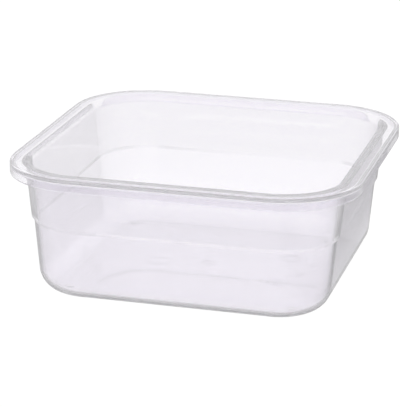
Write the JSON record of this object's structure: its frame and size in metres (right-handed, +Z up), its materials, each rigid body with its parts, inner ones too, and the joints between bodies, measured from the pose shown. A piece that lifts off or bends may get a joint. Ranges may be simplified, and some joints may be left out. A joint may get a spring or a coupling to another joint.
{
  "type": "food storage container",
  "caption": "Square open-topped tub in clear plastic with rounded corners, a flanged rim with a hanging skirt, and a stepped wall that stops nested tubs from jamming.",
  "frame": {"origin": "centre of the underside, on the surface that the feet stand on", "axes": "+Z up through the open mouth; +X and +Y along the sides of the square"},
  "size_m": [0.15, 0.15, 0.0576],
  "materials": {
    "clear_plastic": "clear natural polypropylene with a slight milky haze, glossy walls and rim"
  },
  "bodies": {
    "root": {"tub": "clear_plastic"}
  },
  "joints": []
}
